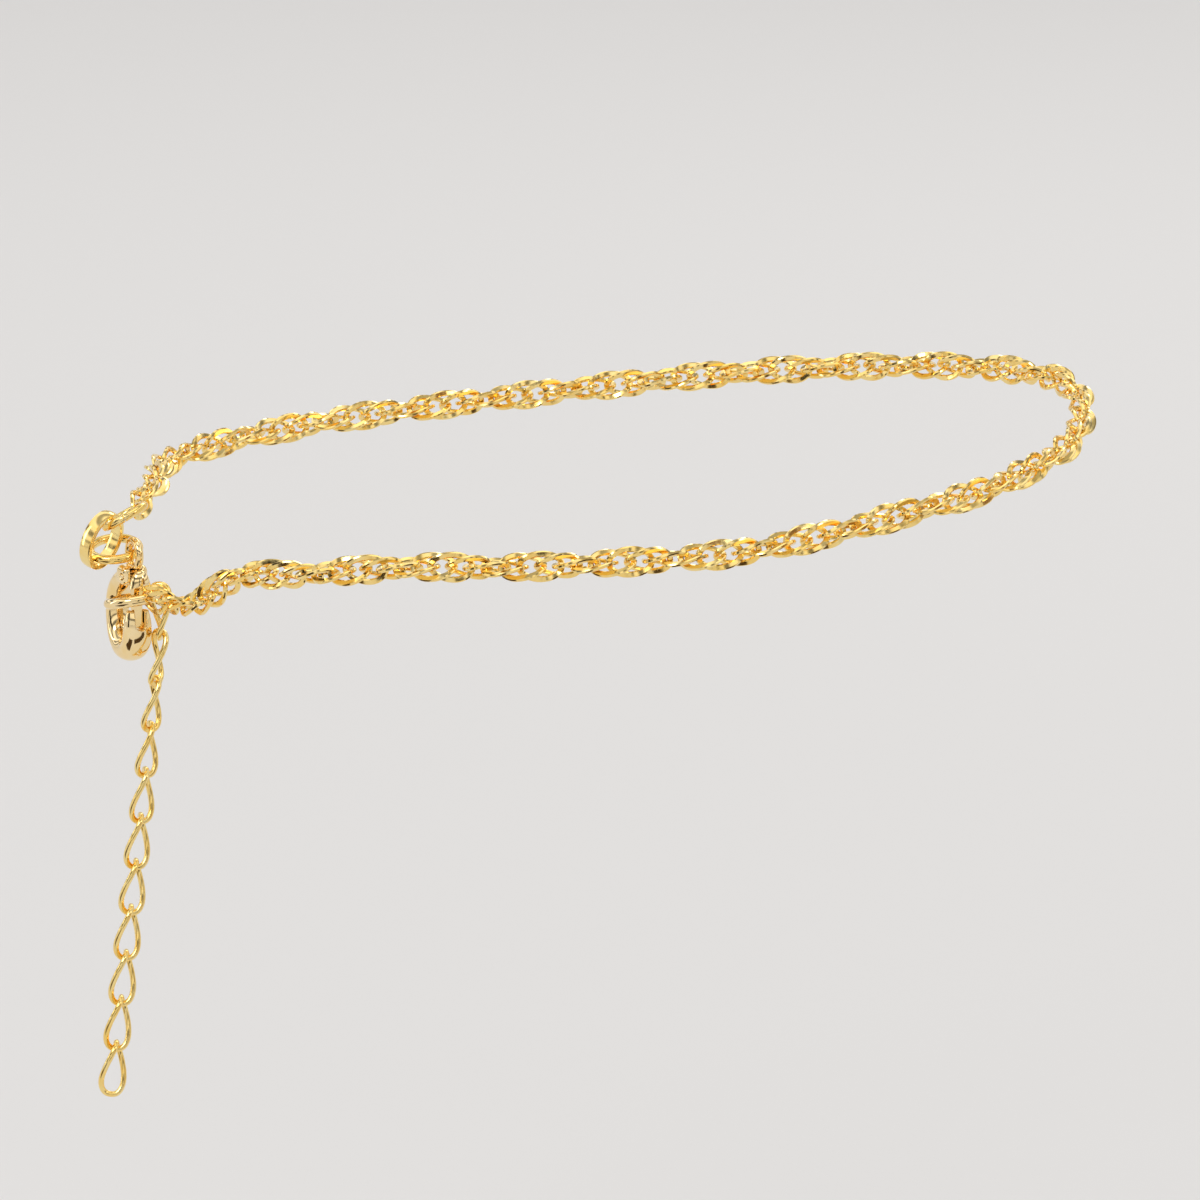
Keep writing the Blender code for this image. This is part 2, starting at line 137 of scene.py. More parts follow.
# Extender links
EXTENDER_LINK_LENGTH = 3.70
EXTENDER_LINK_WIDTH = 1.95
EXTENDER_WIRE = 0.36
EXTENDER_FULLNESS = 0.8
EXTENDER_TWIST = math.pi / 2
EXTENDER_END_SHARE = 0.25
EXTENDER_STEPS = 72
EXTENDER_SIDES = 16

# Clasp, as in the model's source
CLASP_EYE = Vector((-28.40, -5.4, -3.45))
CLASP_TURN = math.radians(26.0)
CLASP_LENGTH = 6.9
CLASP_WIDTH = 4.5
CLASP_THICKNESS = 1.85
EYE_HOLE = 1.2
EYE_WIRE = 0.5

# Claw's sections from the shoulder round to the hook's tip, in shares of the clasp's sizes:
# across, down, half width and half thickness
CLAW_SECTIONS = [
    (-0.10, 0.200, 0.110, 0.42),
    (-0.32, 0.260, 0.125, 0.44),
    (-0.51, 0.365, 0.122, 0.42),
    (-0.61, 0.500, 0.122, 0.40),
    (-0.60, 0.650, 0.128, 0.41),
    (-0.51, 0.790, 0.140, 0.44),
    (-0.32, 0.885, 0.155, 0.47),
    (-0.09, 0.870, 0.165, 0.50),
    (0.04, 0.780, 0.165, 0.50),
    (0.08, 0.670, 0.155, 0.49),
    (0.09, 0.580, 0.135, 0.45),
    (0.09, 0.500, 0.105, 0.38),
]
CLAW_STEPS = 110
CLAW_SIDES = 40
CLAW_WINDOW = 3

# Shoulder, pin and lever, measured from the eye's middle
SHOULDER_TOP = 0.72
SHOULDER_HEIGHT = 1.25
SHOULDER_WIDTH = 1.35
SHOULDER_ACROSS = -0.38
SHOULDER_THICKNESS = 1.70
SHOULDER_ROUNDING = 0.38
PIN_ACROSS = -0.10
PIN_DOWN = 1.35
PIN_DIAMETER = 0.36
PIN_DOME = 0.05
LEVER_THICKNESS = 0.56
LEVER_BOSS = 0.84
LEVER_ARM_ACROSS = 0.27
LEVER_ARM_WIDTH = 0.56
NOSE_GROOVE = 1.15
TAB_ACROSS = 0.88
TAB_WIDTH = 0.93
TAB_HEIGHT = 1.10
TAB_THICKNESS = 1.30
TAB_FOOT = 1.92
GAP = 0.10

# Finer values of the castings
BODY_VOXEL = 0.036
BODY_SMOOTHING = 7
LEVER_VOXEL = 0.022
LEVER_SMOOTHING = 5
FINE_GAP = 0.045
EYE_STEPS = 72
EYE_SIDES = 24
NECK_THICKNESS_SHARE = 0.96
NECK_HEIGHT_SHARE = 0.6
TAB_FLARE = 0.10
TAB_RIM = 0.4
TAB_ARCH = 0.16
TAB_SIDES = 48
TAB_ROWS = 18
BLOCK_SEGMENTS = 6
ROD_SIDES = 48
PIN_SIDES = 32

# Pin's rows from its end inward: the way in domes' heights, and the share of its radius
PIN_ROWS = [
    (0.0, 0.55),
    (0.4, 0.80),
    (1.0, 0.96),
    (2.0, 1.00),
]

# Golds: two colours between which they drift, roughness and strength of the uneven surface
YELLOW_GOLD = ((1.0, 0.78, 0.33), (1.0, 0.69, 0.20), 0.13, 0.20)
PALE_GOLD = ((1.0, 0.80, 0.46), (0.99, 0.73, 0.33), 0.07, 0.12)

# Scale and detail of each noise, where a higher scale is finer, and the uneven surface's height in metres
DRIFT_NOISE = (900, 3)
WORN_NOISE = (2600, 4)
UNEVEN_NOISE = (1400, 1)
UNEVEN_HEIGHT = 0.00004

# Floor's colour, radius and height
FLOOR_COLOUR = (0.76, 0.753, 0.752)
FLOOR_RADIUS = 3000
FLOOR_HEIGHT = -62
FLOOR_SIDES = 64

# What the lights face, and the softboxes: name, place, size and watts
LIGHT_AIM = (0, 0, -4)
SOFTBOXES = [
    ("key", (-260, -330, 330), (170, 130), 0.42),
    ("fill", (420, -300, 240), (90, 220), 0.22),
    ("back", (140, 460, 330), (300, 120), 0.35),
    ("left_strip", (-480, 60, 130), (60, 320), 0.14),
]

# Cards for the reflections: name, place, what they face, size and colour
CARDS = [
    ("left_front", (-430, -300, 20), LIGHT_AIM, (150, 420), (0.03, 0.025, 0.02)),
    ("front_strip", (150, -560, 20), LIGHT_AIM, (60, 420), (0.03, 0.025, 0.02)),
    ("warm_right", (420, -330, 0), LIGHT_AIM, (200, 400), (0.30, 0.17, 0.08)),
    ("low_left", (-78, -62, -61), (-78, -62, 0), (56, 80), (0.06, 0.035, 0.015)),
    ("low_right", (46, -84, -61), (46, -84, 0), (150, 44), (0.06, 0.035, 0.015)),
]
MATT = 0.9
MATT_SHINE = 0.1

# Camera: place, what it faces, lens and sensor
CAMERA_PLACE = (0, -486.2, 109.1)
CAMERA_AIM = (0, 0, -7.62)
CAMERA_LENS = 243
CAMERA_SENSOR = 36

# World's brightness by the sine of the height above the horizon, and its share of each colour
WORLD_BANDS = [
    (0.00, 0.80),
    (0.09, 0.78),
    (0.12, 0.20),
    (0.17, 0.20),
    (0.20, 1.00),
    (0.32, 1.10),
    (0.37, 0.25),
    (0.48, 0.20),
    (0.55, 1.10),
    (0.74, 1.20),
    (0.80, 0.35),
    (0.90, 0.50),
    (0.96, 1.40),
    (1.00, 1.40),
]
WORLD_TINT = (1.0, 0.985, 0.965)


def full_oval(value, fullness):
    """Sine or cosine pushed outward: an ellipse's at 1, and squarer below."""
    return math.copysign(abs(value) ** fullness, value)


def smooth_route(route, parts=16):
    """Fine points along a smooth curve through the route's points, with the length run at each."""
    fine = []
    last = len(route) - 1
    for index in range(last):
        before = route[max(index - 1, 0)]
        start, end = route[index], route[index + 1]
        after = route[min(index + 2, last)]
        for share in (step / parts for step in range(parts)):
            pull = (
                2 * start
                + (end - before) * share
                + (2 * before - 5 * start + 4 * end - after) * share**2
                + (3 * start - before - 3 * end + after) * share**3
            )
            fine.append(pull / 2)
    fine.append(route[-1])
    reach = [0.0]
    for start, end in zip(fine, fine[1:]):
        reach.append(reach[-1] + (end - start).length)
    return fine, reach


def ring_faces(steps, sides, first=0, closed=True):
    """Quads between the sections of a wire, from point number first on."""
    faces = []
    for step in range(steps if closed else steps - 1):
        here, there = first + step * sides, first + (step + 1) % steps * sides
        for side in range(sides):
            follows = (side + 1) % sides
            faces.append((here + side, here + follows, there + follows, there + side))
    return faces


def piece_from(name, points, faces, sharp=SHARP):
    """Smooth-shaded closed piece whose points are given in millimetres in the frame."""
    mesh = bpy.data.meshes.new(name)
    mesh.from_pydata([point * MM for point in points], [], faces)
    shape = bmesh.new()
    shape.from_mesh(mesh)
    bmesh.ops.recalc_face_normals(shape, faces=shape.faces)
    shape.to_mesh(mesh)
    shape.free()
    mesh.shade_smooth()
    mesh.set_sharp_from_angle(angle=sharp)
    piece = bpy.data.objects.new(name, mesh)
    bpy.context.scene.collection.objects.link(piece)
    return piece


def dressed(piece, node, body, material):
    """Gives a finished piece its material and puts it in the place of its node."""
    piece.data.materials.clear()
    piece.data.materials.append(material)
    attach(piece, body)
    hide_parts(node)


def node_points(node):
    """A node's points in millimetres."""
    return np.array([tuple(vertex.co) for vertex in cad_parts[node].data.vertices]) / MM


def principal(node):
    """A node's middle and its three principal directions, the longest first."""
    points = node_points(node)
    middle = points.mean(axis=0)
    axes = np.linalg.svd(points - middle, full_matrices=False)[2]
    return Vector(middle), [Vector(axis) for axis in axes]


def transported(fine):
    """Directions along the curve, each with a sideways direction carried along without twist."""
    ways = []
    for index in range(len(fine)):
        ahead, behind = fine[min(index + 1, len(fine) - 1)], fine[max(index - 1, 0)]
        ways.append((ahead - behind).normalized())
    side = Vector((0, 0, 1))
    sides = []
    for way in ways:
        side = (side - way * side.dot(way)).normalized()
        sides.append(side.copy())
    return ways, sides


def place_on(fine, reach, ways, sides, target):
    """Point of the curve at a length along it, with its direction and sideways direction there."""
    index = 0
    while index < len(fine) - 2 and reach[index + 1] < target:
        index += 1
    share = (target - reach[index]) / (reach[index + 1] - reach[index])
    point = fine[index].lerp(fine[index + 1], share)
    way = ways[index].lerp(ways[index + 1], share).normalized()
    side = sides[index].lerp(sides[index + 1], share)
    side = (side - way * side.dot(way)).normalized()
    return point, way, side


def link_points():
    """Points of one oval chain link about its middle, long along X, with both faces cut flat."""
    middle = []
    for step in range(LINK_STEPS):
        turn = 2 * math.pi * step / LINK_STEPS
        along = (LINK_LENGTH - LINK_WIRE) / 2 * full_oval(math.cos(turn), LINK_FULLNESS)
        across = (LINK_WIDTH - LINK_WIRE) / 2 * full_oval(math.sin(turn), LINK_FULLNESS)
        middle.append(Vector((along, across, 0)))
    half = LINK_WIRE / 2
    face = LINK_FACE_SHARE * half
    points = []
    for step, point in enumerate(middle):
        tangent = (middle[(step + 1) % LINK_STEPS] - middle[step - 1]).normalized()
        outward = tangent.cross(Vector((0, 0, 1)))
        for side in range(LINK_SIDES):
            turn = 2 * math.pi * (side + 0.5) / LINK_SIDES
            place = point + outward * (half * math.cos(turn))
            place.z = max(-face, min(face, half * math.sin(turn)))
            points.append(Matrix.Rotation(LINK_TWIST * place.x, 3, "X") @ place)
    return points


def ring_hook(ring, way):
    """Where the chain holds a ring: the middle of the wire there, and the wire's direction."""
    outer, wire, _ = RINGS[ring]
    middle, axes = principal(ring)
    way = (way - axes[2] * way.dot(axes[2])).normalized()
    return middle + way * (outer - wire) / 2, axes[2].cross(way)


def chain_links():
    """All links of the chain in one piece, each passing through its neighbours."""
    near_hook, near_way = ring_hook("extender_ring", NEAR_WAY)
    far_hook, far_way = ring_hook("end_ring", FAR_WAY)
    route = [near_hook] + [Vector(place) for place in CHAIN_ROUTE] + [far_hook]
    fine, reach = smooth_route(route)
    ways, sides = transported(fine)
    reach_in = LINK_LENGTH / 2 - LINK_WIRE
    start = reach_in - NEAR_PLAY - RINGS["extender_ring"][1] / 2
    stop = reach[-1] - (reach_in - FAR_PLAY - RINGS["end_ring"][1] / 2)
    count = round((stop - start) / LINK_PITCH) + 1
    pitch = (stop - start) / (count - 1)

    def angle_of(target, wire_way):
        _, way, side = place_on(fine, reach, ways, sides, target)
        return math.atan2(wire_way.dot(way.cross(side)), wire_way.dot(side))

    first_turn = angle_of(start, near_way)
    whole = LINK_TURN * (count - 1)
    missing = (angle_of(stop, far_way) - first_turn - whole + math.pi / 2) % math.pi - math.pi / 2
    turn_each = (whole + missing) / (count - 1)
    local = link_points()
    points, faces = [], []
    for number in range(count):
        point, way, side = place_on(fine, reach, ways, sides, start + pitch * number)
        inward = min(number, count - 1 - number)
        turn = first_turn + turn_each * number + TWIST_AHEAD * min(1, inward / TWIST_LINKS)
        normal = side * math.cos(turn) + way.cross(side) * math.sin(turn)
        across = normal.cross(way)
        faces += ring_faces(LINK_STEPS, LINK_SIDES, len(points))
        points += [point + way * p.x + across * p.y + normal * p.z for p in local]
    return piece_from("chain_links", points, faces, LINK_SHARP)


def jump_ring(node):
    """Round wire bent into a ring whose two cut ends meet at a fine seam."""
    outer, wire, seam_way = RINGS[node]
    middle, axes = principal(node)
    radius = (outer - wire) / 2
    x_axis = Vector(seam_way)
    x_axis = (x_axis - axes[2] * x_axis.dot(axes[2])).normalized()
    y_axis = axes[2].cross(x_axis)
    half_seam = SEAM / 2 / radius
    near_seam = [(half_seam + number * SEAM_STEP, share) for number, share in enumerate(SEAM_SHARES)]
    plain_start = half_seam + SEAM_REACH
    plain_turn = 2 * (math.pi - plain_start)
    turns = near_seam.copy()
    turns += [(plain_start + plain_turn * step / (RING_STEPS - 1), 1.0) for step in range(RING_STEPS)]
    turns += [(2 * math.pi - turn, share) for turn, share in reversed(near_seam)]
    points = []
    for turn, share in turns:
        outward = x_axis * math.cos(turn) + y_axis * math.sin(turn)
        for side in range(RING_SIDES):
            around = 2 * math.pi * side / RING_SIDES
            offset = outward * math.cos(around) + axes[2] * math.sin(around)
            points.append(middle + outward * radius + offset * (wire / 2 * share))
    steps = len(turns)
    faces = ring_faces(steps, RING_SIDES, closed=False)
    faces.append(tuple(range(RING_SIDES)))
    faces.append(tuple((steps - 1) * RING_SIDES + side for side in range(RING_SIDES)))
    return piece_from(node + "_wire", points, faces, RING_SHARP)


def band_section():
    """Flat band's section: crowned outer face, rounded edges and flat inner face."""
    half, edge = BAND_WALL / 2, BAND_WIDTH / 2
    shares = []
    for step in range(BAND_CROWN_POINTS):
        side = BAND_CROWN_REACH * (2 * step / (BAND_CROWN_POINTS - 1) - 1)
        shares.append((BAND_CROWN_FOOT + (1 - BAND_CROWN_FOOT) * (1 - side**2), side))
    shares += BAND_ROUNDING
    for step in range(BAND_INNER_POINTS):
        shares.append((-1, BAND_INNER_REACH * (1 - 2 * step / (BAND_INNER_POINTS - 1))))
    shares += [(out, -side) for out, side in reversed(BAND_ROUNDING)]
    return [(half * out, edge * side) for out, side in shares]


def wire_section(wire, sides):
    """Round wire's section."""
    turns = [2 * math.pi * (side + 0.5) / sides for side in range(sides)]
    return [(wire / 2 * math.cos(turn), wire / 2 * math.sin(turn)) for turn in turns]


def closed_loop(name, place, length, width, section, steps, twist=0.0, fullness=1.0, sharp=SHARP):
    """Oval of a section about its own middle, long along X, turned about X by twist over its length."""
    middle = []
    for step in range(steps):
        turn = 2 * math.pi * step / steps
        along = length / 2 * full_oval(math.cos(turn), fullness)
        across = width / 2 * full_oval(math.sin(turn), fullness)
        roll = twist * (along / length + 0.5)
        middle.append(Vector((along, across * math.cos(roll), across * math.sin(roll))))
    points = []
    for step, point in enumerate(middle):
        tangent = (middle[(step + 1) % steps] - middle[step - 1]).normalized()
        outward = (point - tangent * point.dot(tangent)).normalized()
        sideways = tangent.cross(outward)
        points += [place @ (point + outward * out + sideways * side) for out, side in section]
    return piece_from(name, points, ring_faces(steps, len(section)), sharp)


def placed(middle, x_axis, y_axis):
    """Placement in millimetres from a middle and two directions."""
    x_axis = x_axis.normalized()
    z_axis = x_axis.cross(y_axis).normalized()
    y_axis = z_axis.cross(x_axis)
    return Matrix.Translation(middle) @ Matrix((x_axis, y_axis, z_axis)).transposed().to_4x4()


def band_ring():
    """Oval band in the place of its node."""
    middle, axes = principal("band_ring")
    place = placed(middle, axes[0], axes[1])
    length, width = BAND_HEIGHT - BAND_WALL, BAND_DEPTH - BAND_WALL
    return closed_loop("band_ring_band", place, length, width, band_section(), BAND_STEPS, sharp=BAND_SHARP)


def extender_link(node):
    """Fine link in the place of one extender link, whose foot is a quarter turn from its head."""
    middle, axes = principal(node)
    down = axes[0] if axes[0].z < 0 else -axes[0]
    side = (Vector((0, 1, 0)) - down * down.y).normalized()
    other = down.cross(side)
    points = node_points(node) - np.array(middle)
    along = points @ np.array(down)
    flat = np.stack([points @ np.array(side), points @ np.array(other)], axis=1)
    end_start = EXTENDER_END_SHARE * EXTENDER_LINK_LENGTH
    rolls = []
    for end in (along < -end_start, along > end_start):
        spread = np.linalg.svd(flat[end] - flat[end].mean(axis=0), full_matrices=False)[2][0]
        rolls.append(math.atan2(spread[1], spread[0]))
    turned = (rolls[1] - rolls[0]) % math.pi
    head = rolls[0] + turned / 2 - EXTENDER_TWIST / 2
    width_way = side * math.cos(head) + other * math.sin(head)
    place = placed(middle, down, width_way)
    length = EXTENDER_LINK_LENGTH - EXTENDER_WIRE
    width = EXTENDER_LINK_WIDTH - EXTENDER_WIRE
    section = wire_section(EXTENDER_WIRE, EXTENDER_SIDES)
    return closed_loop(
        node + "_wire", place, length, width, section, EXTENDER_STEPS, EXTENDER_TWIST, EXTENDER_FULLNESS
    )


def clasp_placement():
    """Placement of the clasp's own directions, whose X runs across the claw and Y through it."""
    turn = Matrix.Rotation(CLASP_TURN - math.pi / 2, 4, "Z")
    return Matrix.Translation(CLASP_EYE) @ turn


def claw(name):
    """Claw swept through its sections, in the clasp's own directions."""
    route = [
        Vector((across * CLASP_WIDTH, 0, -down * CLASP_LENGTH)) for across, down, _, _ in CLAW_SECTIONS
    ]
    sizes = [
        Vector((half_width * CLASP_WIDTH, half_thickness * CLASP_THICKNESS, 0))
        for _, _, half_width, half_thickness in CLAW_SECTIONS
    ]
    fine, reach = smooth_route(route)
    fine_sizes, _ = smooth_route(sizes)
    through = Vector((0, 1, 0))
    points = []
    for step in range(CLAW_STEPS):
        target = reach[-1] * step / (CLAW_STEPS - 1)
        index = min(max(np.searchsorted(reach, target) - 1, 0), len(fine) - 2)
        share = (target - reach[index]) / (reach[index + 1] - reach[index])
        middle = fine[index].lerp(fine[index + 1], share)
        ahead = fine[min(index + 1 + CLAW_WINDOW, len(fine) - 1)]
        behind = fine[max(index - CLAW_WINDOW, 0)]
        outward = (ahead - behind).normalized().cross(through)
        size = fine_sizes[index].lerp(fine_sizes[index + 1], share)
        for side in range(CLAW_SIDES):
            turn = 2 * math.pi * side / CLAW_SIDES
            points.append(middle + outward * (size.x * math.cos(turn)) + through * (size.y * math.sin(turn)))
    faces = ring_faces(CLAW_STEPS, CLAW_SIDES, closed=False)
    faces.append(tuple(range(CLAW_SIDES)))
    faces.append(tuple((CLAW_STEPS - 1) * CLAW_SIDES + side for side in range(CLAW_SIDES)))
    return piece_from(name, points, faces)


def block(name, size, middle, rounding=0.0):
    """Block, with rounded edges where a rounding is given."""
    shape = bmesh.new()
    bmesh.ops.create_cube(shape, size=1.0)
    bmesh.ops.scale(shape, vec=Vector(size) * MM, verts=shape.verts)
    if rounding:
        edges = shape.edges[:]
        bmesh.ops.bevel(
            shape, geom=edges, offset=rounding * MM, segments=BLOCK_SEGMENTS, affect="EDGES", profile=0.5
        )
    bmesh.ops.translate(shape, vec=Vector(middle) * MM, verts=shape.verts)
    return from_shape(name, shape)


def rod(name, diameter, length, middle, about="X"):
    """Cylinder through the clasp's thickness, or across it when turned about Y."""
    shape = bmesh.new()
    place = Matrix.Translation(Vector(middle) * MM) @ Matrix.Rotation(math.pi / 2, 4, about)
    radius = diameter / 2 * MM
    bmesh.ops.create_cone(
        shape,
        cap_ends=True,
        segments=ROD_SIDES,
        radius1=radius,
        radius2=radius,
        depth=length * MM,
        matrix=place,
    )
    return from_shape(name, shape)


def from_shape(name, shape):
    """Plain object made from a finished bmesh."""
    mesh = bpy.data.meshes.new(name)
    shape.to_mesh(mesh)
    shape.free()
    piece = bpy.data.objects.new(name, mesh)
    bpy.context.scene.collection.objects.link(piece)
    return piece


def cast(name, first, steps, voxel, smoothing):
    """One smooth casting from a first shape and those added to it or cut from it, in the clasp's place."""
    for tool, operation in steps:
        step = first.modifiers.new(tool.name, "BOOLEAN")
        step.operation = operation
        step.solver = "EXACT"
        step.object = tool
    remesh = first.modifiers.new("remesh", "REMESH")
    remesh.mode = "VOXEL"
    remesh.voxel_size = voxel * MM
    remesh.use_smooth_shade = True
    soft = first.modifiers.new("soft", "SMOOTH")
    soft.factor = 0.5
    soft.iterations = smoothing
    bpy.context.view_layer.update()
    mesh = bpy.data.meshes.new_from_object(first.evaluated_get(bpy.context.evaluated_depsgraph_get()))
    mesh.name = name
    place = clasp_placement()
    place.translation *= MM
    mesh.transform(place)
    for tool in [first] + [tool for tool, _ in steps]:
        bpy.data.objects.remove(tool)
    piece = bpy.data.objects.new(name, mesh)
    bpy.context.scene.collection.objects.link(piece)
    return piece


def clasp_body():
    """Casting of claw, shoulder and eye, slotted for the lever and grooved at the hook's tip."""
    tip_down = CLAW_SECTIONS[-1][1] * CLASP_LENGTH
    slot_thickness = LEVER_THICKNESS + 2 * GAP
    shoulder_size = (SHOULDER_WIDTH, SHOULDER_THICKNESS, SHOULDER_HEIGHT)
    shoulder_middle = (SHOULDER_ACROSS, 0, -SHOULDER_TOP - SHOULDER_HEIGHT / 2)
    eye_bore = EYE_HOLE + EYE_WIRE
    eye_place = Matrix.Rotation(math.pi / 2, 4, "X")
    eye_section = wire_section(EYE_WIRE, EYE_SIDES)
    slot_back = PIN_ACROSS - LEVER_BOSS / 2 - GAP
    slot_front = SHOULDER_ACROSS + SHOULDER_WIDTH
    slot_top = -(PIN_DOWN - LEVER_BOSS / 2 - GAP)
    slot_foot = -(SHOULDER_TOP + 2 * SHOULDER_HEIGHT)
    slot_size = (slot_front - slot_back, slot_thickness, slot_top - slot_foot)
    slot_middle = ((slot_front + slot_back) / 2, 0, (slot_top + slot_foot) / 2)
    groove_thickness = LEVER_THICKNESS + 2 * FINE_GAP
    groove_foot = NOSE_GROOVE - groove_thickness / 2
    groove_size = (2 * TAB_ACROSS, groove_thickness, 2 * groove_foot)
    groove_end = (LEVER_ARM_ACROSS, 0, -tip_down - groove_foot)
    steps = [
        (block("shoulder", shoulder_size, shoulder_middle, SHOULDER_ROUNDING), "UNION"),
        (closed_loop("eye", eye_place, eye_bore, eye_bore, eye_section, EYE_STEPS), "UNION"),
        (block("slot", slot_size, slot_middle), "DIFFERENCE"),
        (block("groove", groove_size, (LEVER_ARM_ACROSS, 0, -tip_down)), "DIFFERENCE"),
        (rod("groove_end", groove_thickness, 2 * TAB_ACROSS, groove_end, "Y"), "DIFFERENCE"),
        (rod("bore", PIN_DIAMETER + GAP, 2 * CLASP_THICKNESS, (PIN_ACROSS, 0, -PIN_DOWN)), "DIFFERENCE"),
    ]
    return cast("clasp_body_cast", claw("claw"), steps, BODY_VOXEL, BODY_SMOOTHING)


def thumb_tab():
    """Bell-shaped thumb tab on a flat foot, flared at its rim."""
    middle = Vector((TAB_ACROSS, 0, -TAB_FOOT))
    points = []
    for row in range(TAB_ROWS):
        rise = math.pi / 2 * row / TAB_ROWS
        spread, lift = math.cos(rise), math.sin(rise)
        for side in range(TAB_SIDES):
            turn = 2 * math.pi * side / TAB_SIDES
            flare = 1 + TAB_FLARE * max(0, 1 - lift / TAB_RIM) ** 2
            across = TAB_WIDTH / 2 * spread * math.cos(turn)
            through = TAB_THICKNESS / 2 * spread * flare * math.sin(turn)
            arch = TAB_ARCH * (1 - lift) * (1 - (2 * through / TAB_THICKNESS) ** 2)
            points.append(middle + Vector((across, through, TAB_HEIGHT * lift + arch)))
    points.append(middle + Vector((0, 0, TAB_HEIGHT)))
    faces = ring_faces(TAB_ROWS, TAB_SIDES, closed=False) + [tuple(range(TAB_SIDES))]
    top = (TAB_ROWS - 1) * TAB_SIDES
    faces += [(top + side, top + (side + 1) % TAB_SIDES, len(points) - 1) for side in range(TAB_SIDES)]
    return piece_from("tab", points, faces)


def clasp_lever():
    """Casting of the gate's boss, neck, arm and thumb tab."""
    arm_foot = CLAW_SECTIONS[-1][1] * CLASP_LENGTH + NOSE_GROOVE - GAP
    arm_length = arm_foot - PIN_DOWN - LEVER_THICKNESS / 2
    arm_size = (LEVER_ARM_WIDTH, LEVER_THICKNESS, arm_length)
    arm_end = (LEVER_ARM_ACROSS, 0, -PIN_DOWN - arm_length)
    neck_length = TAB_ACROSS - PIN_ACROSS
    neck_size = (neck_length, LEVER_THICKNESS * NECK_THICKNESS_SHARE, LEVER_BOSS * NECK_HEIGHT_SHARE)
    steps = [
        (block("arm", arm_size, (LEVER_ARM_ACROSS, 0, -PIN_DOWN - arm_length / 2)), "UNION"),
        (rod("arm_end", LEVER_THICKNESS, LEVER_ARM_WIDTH, arm_end, "Y"), "UNION"),
        (block("neck", neck_size, (PIN_ACROSS + neck_length / 2, 0, -PIN_DOWN)), "UNION"),
        (thumb_tab(), "UNION"),
        (rod("bore", PIN_DIAMETER + GAP, 2 * CLASP_THICKNESS, (PIN_ACROSS, 0, -PIN_DOWN)), "DIFFERENCE"),
    ]
    boss = rod("boss", LEVER_BOSS, LEVER_THICKNESS, (PIN_ACROSS, 0, -PIN_DOWN))
    return cast("clasp_lever_cast", boss, steps, LEVER_VOXEL, LEVER_SMOOTHING)


def clasp_pin():
    """Pin with softly domed ends."""
    half, radius = SHOULDER_THICKNESS / 2, PIN_DIAMETER / 2
    rows = [(-half + domes * PIN_DOME, radius * share) for domes, share in PIN_ROWS]
    rows += [(-along, reach) for along, reach in reversed(rows)]
    place = clasp_placement()
    points = []
    for along, reach in rows:
        for side in range(PIN_SIDES):
            turn = 2 * math.pi * side / PIN_SIDES
            across, up = reach * math.cos(turn), reach * math.sin(turn)
            points.append(place @ Vector((PIN_ACROSS + across, along, -PIN_DOWN + up)))
    faces = ring_faces(len(rows), PIN_SIDES, closed=False)
    faces.append(tuple(range(PIN_SIDES)))
    faces.append(tuple((len(rows) - 1) * PIN_SIDES + side for side in range(PIN_SIDES)))
    return piece_from("clasp_pin_domed", points, faces)


def noise(tree, place, scale, detail):
    """Noise over the piece's own coordinates."""
    pattern = tree.nodes.new("ShaderNodeTexNoise")
    pattern.inputs["Scale"].default_value = scale
    pattern.inputs["Detail"].default_value = detail
    tree.links.new(place.outputs["Object"], pattern.inputs["Vector"])
    return pattern.outputs["Fac"]


def gold(name, bright, deep, roughness, wave):
    """Polished gold with slight colour drift, softly worn patches and a faint unevenness of the surface."""
    material = bpy.data.materials.new(name)
    material.use_nodes = True
    tree = material.node_tree
    shader = tree.nodes["Principled BSDF"]
    shader.inputs["Metallic"].default_value = 1.0
    place = tree.nodes.new("ShaderNodeTexCoord")

    colour = tree.nodes.new("ShaderNodeValToRGB")
    colour.color_ramp.elements[0].position = 0.35
    colour.color_ramp.elements[0].color = (*deep, 1)
    colour.color_ramp.elements[1].position = 0.65
    colour.color_ramp.elements[1].color = (*bright, 1)
    tree.links.new(noise(tree, place, *DRIFT_NOISE), colour.inputs["Fac"])
    tree.links.new(colour.outputs["Color"], shader.inputs["Base Color"])

    rough = tree.nodes.new("ShaderNodeMapRange")
    rough.inputs["From Min"].default_value = 0.35
    rough.inputs["From Max"].default_value = 0.70
    rough.inputs["To Min"].default_value = roughness * 0.7
    rough.inputs["To Max"].default_value = roughness * 1.5
    tree.links.new(noise(tree, place, *WORN_NOISE), rough.inputs["Value"])
    tree.links.new(rough.outputs["Result"], shader.inputs["Roughness"])

    soft_bump = tree.nodes.new("ShaderNodeBump")
    soft_bump.inputs["Strength"].default_value = wave
    soft_bump.inputs["Distance"].default_value = UNEVEN_HEIGHT
    tree.links.new(noise(tree, place, *UNEVEN_NOISE), soft_bump.inputs["Height"])
    tree.links.new(soft_bump.outputs["Normal"], shader.inputs["Normal"])
    return material


def plain(name, colour):
    """Matt paint of one colour."""
    material = bpy.data.materials.new(name)
    material.use_nodes = True
    shader = material.node_tree.nodes["Principled BSDF"]
    shader.inputs["Base Color"].default_value = (*colour, 1)
    shader.inputs["Roughness"].default_value = MATT
    shader.inputs["Specular IOR Level"].default_value = MATT_SHINE
    return material


def aimed(position, target):
    """Turn that points an object at position towards target."""
    return (Vector(target) - Vector(position)).to_track_quat("-Z", "Y").to_euler()


def softbox(name, position, target, size, power):
    """White rectangular light."""
    light = bpy.data.lights.new(name, "AREA")
    light.shape = "RECTANGLE"
    light.size, light.size_y = size[0] * MM, size[1] * MM
    light.energy = power
    holder = bpy.data.objects.new(name, light)
    holder.location = Vector(position) * MM
    holder.rotation_euler = aimed(position, target)
    bpy.context.scene.collection.objects.link(holder)


